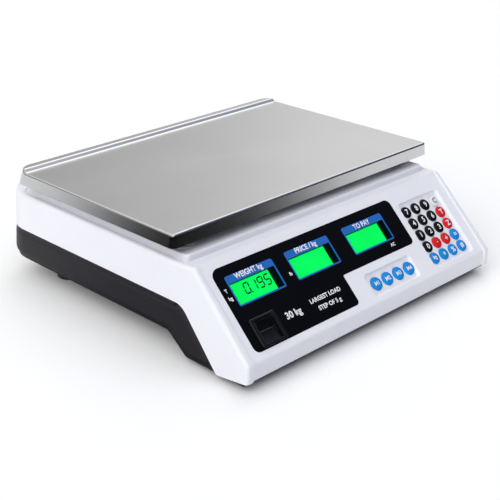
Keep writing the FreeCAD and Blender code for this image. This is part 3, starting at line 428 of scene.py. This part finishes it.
def digit_outlines(figure, left, foot):
    """The lit bars of one seven-bar digit, as slanting six-sided outlines."""
    half = DIGIT_HEIGHT / 2
    ends = {"a": ((0, 2), (1, 2)), "b": ((1, 1), (1, 2)), "c": ((1, 0), (1, 1)), "d": ((0, 0), (1, 0)),
            "e": ((0, 0), (0, 1)), "f": ((0, 1), (0, 2)), "g": ((0, 1), (1, 1))}
    outlines = []
    for bar in DIGIT_BARS[figure]:
        start, stop = (Vector((across * DIGIT_WIDTH, up * half)) for across, up in ends[bar])
        along = (stop - start).normalized()
        side = Vector((-along.y, along.x)) * BAR / 2
        start, stop = start + along * BAR_GAP, stop - along * BAR_GAP
        points = (start, start + along * BAR / 2 - side, stop - along * BAR / 2 - side, stop,
                  stop - along * BAR / 2 + side, start + along * BAR / 2 + side)
        outlines.append([(left + p.x + SLANT * p.y, foot + p.y) for p in points])
    return outlines


def round_outline(x, s, radius, sides=20):
    """A circle of points for a dot."""
    turns = [2 * math.pi * i / sides for i in range(sides)]
    return [(x + radius * math.cos(t), s + radius * math.sin(t)) for t in turns]


def reading(figures, right, foot, pitch=8.2):
    """A row of digits that ends at the right, with the point after the first one."""
    outlines = []
    for place_no, figure in enumerate(reversed(figures)):
        left = right - DIGIT_WIDTH - place_no * pitch
        outlines += digit_outlines(figure, left, foot)
    point_x = right - DIGIT_WIDTH - (len(figures) - 2) * pitch - (pitch - DIGIT_WIDTH) / 2
    return outlines + [round_outline(point_x, foot, 0.75)]


lit_glass, tree, shader = plain_material("lit_glass", Roughness=0.12, Emission_Strength=1.0,
                                         Specular_IOR_Level=0.2)
where = place(tree, "TexCoord").outputs["Object"]
cells = place(tree, "TexVoronoi", {"Vector": where, "Scale": 3000.0})
glow = place(tree, "TexNoise", {"Vector": where, "Scale": 28.0, "Detail": 1.0})
green = ramp(tree, glow.outputs["Fac"], (0.3, (0.0, 0.90, 0.105)), (0.7, (0.0, 1.0, 0.135)))
speck = place(tree, "MapRange", {"Value": cells.outputs["Distance"], "To Min": 1.0, "To Max": 0.93})
tree.links.new(place(tree, "HueSaturation", {"Color": green, "Value": speck.outputs[0]}).outputs[0],
               shader.inputs["Emission Color"])
shader.inputs["Base Color"].default_value = (0.0, 0.08, 0.01, 1.0)
dress(lit_glass, "lcd_weight", "lcd_unit_price", "lcd_total_price", "rear_lcds")

crystal, tree, shader = plain_material("dark_segment", Specular_IOR_Level=0.2)
film = place(tree, "TexNoise", {"Vector": place(tree, "TexCoord").outputs["Object"],
                                "Scale": 900.0})
tree.links.new(ramp(tree, film.outputs["Fac"], (0.3, (0.0, 0.006, 0.004)),
                    (0.7, (0.001, 0.012, 0.006))), shader.inputs["Base Color"])
tree.links.new(ramp(tree, film.outputs["Fac"], (0.3, 0.25), (0.7, 0.35)),
               shader.inputs["Roughness"])
GLASS_TOP = -4.0
INK_THICKNESS, INK_CLEARANCE = 0.03, 0.005
pointers = [[(-138.4, s), (-136.8, s + 1.0), (-138.4, s + 2.0)] for s in (63.2, 56.2)]
lay_shapes("weight_reading", reading("0195", -95.8, 56.8) + pointers, on_panel,
           GLASS_TOP + INK_CLEARANCE, INK_THICKNESS, crystal, "body")

# a black band laid on the right-hand end of each glass is painted shade, standing in for the shadow of
# the opening's wall
LCD_CENTRES = {"weight": -114.4, "unit_price": -43.2, "total_price": 32.8}
SHADE_BAND_FROM, GLASS_HALF, GLASS_S = 21.6, 27.05, (49.25, 69.25)
LINER_HALF, LINER_S = 27.35, (48.95, 69.55)
SHADE_BAND_HEIGHT, LINER_HEIGHT = 0.5, 2.9


def rectangle(left, right, foot, crown):
    """The four corners of an upright rectangle."""
    return [(left, foot), (right, foot), (right, crown), (left, crown)]


shade_bands = [rectangle(centre + SHADE_BAND_FROM, centre + GLASS_HALF, *GLASS_S)
           for centre in LCD_CENTRES.values()]
lay_shapes("glass_shade_bands", shade_bands, on_panel, GLASS_TOP + 0.04, SHADE_BAND_HEIGHT, crystal,
           "body")

# dark card lines the walls of each opening, so that they don't pick up the green light
for figure, centre in LCD_CENTRES.items():
    walls = [rectangle(centre - LINER_HALF, centre - GLASS_HALF, *LINER_S),
             rectangle(centre + GLASS_HALF, centre + LINER_HALF, *LINER_S),
             rectangle(centre - GLASS_HALF, centre + GLASS_HALF, LINER_S[0], GLASS_S[0]),
             rectangle(centre - GLASS_HALF, centre + GLASS_HALF, GLASS_S[1], LINER_S[1])]
    lay_shapes("opening_liner_" + figure, walls, on_panel, GLASS_TOP + 0.05, LINER_HEIGHT,
               crystal, "body")


# ---- display window and its printing -------------------------------------------------------------
# One black acrylic window covers the operator's displays and the switch. Blue frames with caption
# bars are let into it round each glass, and the captions are printed in white.
window_black = moulded_material("window_black", (0.0012, 0.0012, 0.002), (0.004, 0.004, 0.006),
                                rough=0.16, grain=3.0, depth=0.002, mottle=0.1, spread=0.04,
                                Specular_IOR_Level=0.14)
dress(window_black, "display_window", "rear_window")

frame_blue, tree, shader = plain_material("frame_blue", Coat_Weight=0.3, Coat_Roughness=0.15)
dots = place(tree, "TexNoise", {"Vector": place(tree, "TexCoord").outputs["Object"],
                                "Scale": 1500.0, "Detail": 2.0})
tree.links.new(ramp(tree, dots.outputs["Fac"], (0.3, (0.006, 0.115, 0.45)),
                    (0.7, (0.010, 0.145, 0.55))), shader.inputs["Base Color"])
tree.links.new(ramp(tree, dots.outputs["Fac"], (0.3, 0.32), (0.7, 0.42)),
               shader.inputs["Roughness"])
dress(frame_blue, "display_bezels")

ink_white, tree, shader = plain_material("ink_white", Specular_IOR_Level=0.3)
ink = place(tree, "TexNoise", {"Vector": place(tree, "TexCoord").outputs["Object"],
                               "Scale": 2500.0, "Detail": 2.0})
tree.links.new(ramp(tree, ink.outputs["Fac"], (0.3, (0.80, 0.80, 0.84)), (0.7, (0.93, 0.93, 0.96))),
               shader.inputs["Base Color"])
tree.links.new(ramp(tree, ink.outputs["Fac"], (0.3, 0.40), (0.7, 0.55)), shader.inputs["Roughness"])


def letter_mesh(words, size, weight=0.0, stretch=1.0):
    """Flat lettering centred on its own origin, in millimetres, as filled faces."""
    curve = bpy.data.curves.new("lettering", "FONT")
    curve.body = words
    curve.size = size
    curve.offset = weight
    curve.align_x = "CENTER"
    curve.align_y = "CENTER"
    curve.resolution_u = 3
    carrier = bpy.data.objects.new("lettering", curve)
    flat = bpy.data.meshes.new_from_object(carrier)
    bpy.data.objects.remove(carrier)
    mesh = bmesh.new()
    mesh.from_mesh(flat)
    bpy.data.meshes.remove(flat)
    bmesh.ops.remove_doubles(mesh, verts=mesh.verts, dist=1e-4)
    low = Vector((min(v.co.x for v in mesh.verts), min(v.co.y for v in mesh.verts), 0.0))
    high = Vector((max(v.co.x for v in mesh.verts), max(v.co.y for v in mesh.verts), 0.0))
    for vert in mesh.verts:
        vert.co -= (low + high) / 2
        vert.co.x *= stretch
    return mesh


def thicken(mesh, spot_of, thickness):
    """Lays flat lettering on a surface and gives it the thickness of a coat of ink."""
    flats = [face for face in mesh.faces]
    lifted = bmesh.ops.extrude_face_region(mesh, geom=flats)["geom"]
    tops = {part for part in lifted if isinstance(part, bmesh.types.BMVert)}
    for vert in mesh.verts:
        rise = thickness if vert in tops else 0.0
        vert.co = spot_of(vert.co.x, vert.co.y, rise)
    bmesh.ops.recalc_face_normals(mesh, faces=mesh.faces)


def print_words(name, words, x, s, size, where, height, material, body, weight=0.0, stretch=1.0):
    """Prints one caption on a flat surface."""
    mesh = letter_mesh(words, size, weight, stretch)
    thicken(mesh, lambda u, v, rise: where(x + u, s + v, height + rise), INK_THICKNESS)
    return finish_piece(name, mesh, material, body)


WINDOW_TOP = 0.2
CAPTIONS = {"weight": "WEIGHT kg", "unit_price": "PRICE / kg", "total_price": "TO PAY"}
CAPTION_S = 73.1
for figure, centre in LCD_CENTRES.items():
    print_words("caption_" + figure, CAPTIONS[figure], centre - 1.0, CAPTION_S, 6.9, on_panel,
                WINDOW_TOP, ink_white, "body", weight=0.22, stretch=0.92)
WINDOW_MARKS = {"tare": ("T", -147.4, 65.0, 4.6), "kilograms": ("kg", -147.0, 57.2, 4.6),
                "per_pound": ("lb", -75.4, 56.8, 4.6), "mains": ("AC", 54.0, 43.6, 4.4),
                "largest_load": ("30 kg", -95.6, 23.8, 8.6),
                "load_words": ("LARGEST LOAD", -53.6, 27.2, 5.6),
                "step": ("STEP OF 5 g", -53.6, 18.2, 5.6)}
for mark, (words, x, s, size) in WINDOW_MARKS.items():
    print_words("mark_" + mark, words, x, s, size, on_panel, WINDOW_TOP, ink_white, "body",
                weight=0.035 * size)


# ---- keys ----------------------------------------------------------------------------------------
# Twenty small and four larger domed caps, each moulded in its own colour with the legend printed on
# the dome. They stand in two shallow recesses and sink 1 mm when pressed.
KEY_TOP, DOME_DROP = -0.6, 0.9
KEY_RADIUS, MEMORY_KEY_RADIUS = 5.75, 6.45
SIGN_SIZE, WORD_SIZE, LEGEND_WEIGHT = 7.6, 5.4, 0.16
LONGEST_EDGE, SUBDIVIDING_ROUNDS, LEGEND_LIFT = 0.7, 3, 0.015
# Each colour pairs the cap's own tone with the lighter tone of its edges, which is partly wear and
# partly a painted highlight.
KEY_COLOURS = {"black": ((0.003, 0.003, 0.004), (0.012, 0.012, 0.013)),
               "white": ((0.80, 0.80, 0.86), (0.90, 0.90, 0.95)),
               "red": ((0.66, 0.012, 0.016), (0.80, 0.08, 0.08)),
               "blue": ((0.006, 0.25, 0.70), (0.04, 0.38, 0.88))}
key_gloss = {name: moulded_material("key_" + name, body, edge, rough=0.22, grain=2.0, depth=0.004,
                                    mottle=0.05, spread=0.08, Coat_Weight=0.12,
                                    Coat_Roughness=0.08, Specular_IOR_Level=0.3)
             for name, (body, edge) in KEY_COLOURS.items()}
KEY_LEGENDS = {
    "key_7": "7", "key_8": "8", "key_9": "9", "key_clear": "C",
    "key_4": "4", "key_5": "5", "key_6": "6", "key_tare": "T",
    "key_1": "1", "key_2": "2", "key_3": "3", "key_zero": "Z",
    "key_0": "0", "key_point": ".", "key_add": "+", "key_total": "=",
    "key_unit": "kg", "key_light": "*", "key_change": "%", "key_return": "#",
    "key_memory_1": "M1", "key_memory_2": "M2", "key_memory_3": "M3", "key_memory_4": "M4"}
record_slots = {part["node"]: part["material_slot"] for part in frame["record"]["subparts"]}
ink_dark = moulded_material("ink_dark", (0.02, 0.02, 0.03), (0.03, 0.03, 0.04), rough=0.4)
for node, legend in KEY_LEGENDS.items():
    colour = record_slots[node].removeprefix("key_")
    dress(key_gloss[colour], node)
    low, high = (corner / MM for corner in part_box(node))
    middle = (low + high) / 2
    x0 = middle.x
    s0 = (middle - PANEL_FOOT).dot(UP_THE_SLOPE)
    radius = MEMORY_KEY_RADIUS if "memory" in node else KEY_RADIUS
    ball = (radius ** 2 + DOME_DROP ** 2) / (2 * DOME_DROP)

    def on_dome(u, v, rise):
        """A point on the cap's dome, over its centre by u and v."""
        sag = ball - math.sqrt(ball ** 2 - u ** 2 - v ** 2)
        return on_panel(x0 + u, s0 + v, KEY_TOP - sag + rise)

    mesh = letter_mesh(legend, SIGN_SIZE if len(legend) == 1 else WORD_SIZE, LEGEND_WEIGHT)
    for _ in range(SUBDIVIDING_ROUNDS):
        long_edges = [edge for edge in mesh.edges if edge.calc_length() > LONGEST_EDGE]
        bmesh.ops.subdivide_edges(mesh, edges=long_edges, cuts=1)
        bmesh.ops.triangulate(mesh, faces=mesh.faces)
    thicken(mesh, on_dome, INK_THICKNESS)
    for vert in mesh.verts:
        vert.co += OUT_OF_PANEL * LEGEND_LIFT * MM
    finish_piece("legend_" + node, mesh, ink_dark if colour == "white" else ink_white, node)


# ---- customer's display --------------------------------------------------------------------------
# The same figures are shown to the customer through a second window in the rear wall.
REAR_CENTRES = {"total_price": 78.0, "unit_price": 0.0, "weight": -78.0}
REAR_GLASS_TOP, REAR_CAPTION_S = -3.6, 82.4
rear_reading = reading("0195", REAR_CENTRES["weight"] + 21.0, 66.0)
lay_shapes("rear_weight_reading", rear_reading, on_rear, REAR_GLASS_TOP + INK_CLEARANCE,
           INK_THICKNESS, crystal, "body")
for figure, centre in REAR_CENTRES.items():
    print_words("rear_caption_" + figure, CAPTIONS[figure], centre, REAR_CAPTION_S, 5.0, on_rear,
                WINDOW_TOP, ink_white, "body", weight=0.1, stretch=0.85)


# ---- spider and pads -----------------------------------------------------------------------------
# The cast aluminium spider carries the pan on four black rubber bushes.
cast_aluminium = metal_material("cast_aluminium", (0.40, 0.40, 0.41), (0.56, 0.56, 0.57), 0.42,
                                0.58, cloud_size=2.5, depth=0.08)
dress(cast_aluminium, "pan_spider")
pad_rubber = moulded_material("pad_rubber", (0.012, 0.012, 0.012), (0.04, 0.04, 0.04), rough=0.62,
                              grain=0.8, depth=0.05)
dress(pad_rubber, "pan_pads")


# ---- weighing pan --------------------------------------------------------------------------------
# Pressed from 1 mm stainless sheet: a flat top with a raised strip along the rear, a flange turned
# down all round, and a satin finish brushed from left to right.
stainless, tree, shader = plain_material("brushed_stainless", Metallic=1.0, Anisotropic=0.35)
where = place(tree, "TexCoord").outputs["Object"]
drawn = place(tree, "Mapping", {"Vector": where, "Scale": (8.0, 900.0, 900.0)})
lines = place(tree, "TexNoise", {"Vector": drawn.outputs[0], "Scale": 3.0, "Detail": 3.0})
hand = place(tree, "TexNoise", {"Vector": where, "Scale": 14.0, "Detail": 3.0})
tone = ramp(tree, lines.outputs["Fac"], (0.3, (0.665, 0.665, 0.67)), (0.7, (0.71, 0.71, 0.71)))
gloss = place(tree, "MapRange", {"Value": hand.outputs["Fac"], "From Min": 0.3, "From Max": 0.7,
                                 "To Min": 0.19, "To Max": 0.22})
tree.links.new(tone, shader.inputs["Base Color"])
tree.links.new(gloss.outputs[0], shader.inputs["Roughness"])
tree.links.new(place(tree, "Bump", {"Height": lines.outputs["Fac"], "Distance": 0.001 * MM}
                     ).outputs[0], shader.inputs["Normal"])
dress(stainless, "weighing_pan")
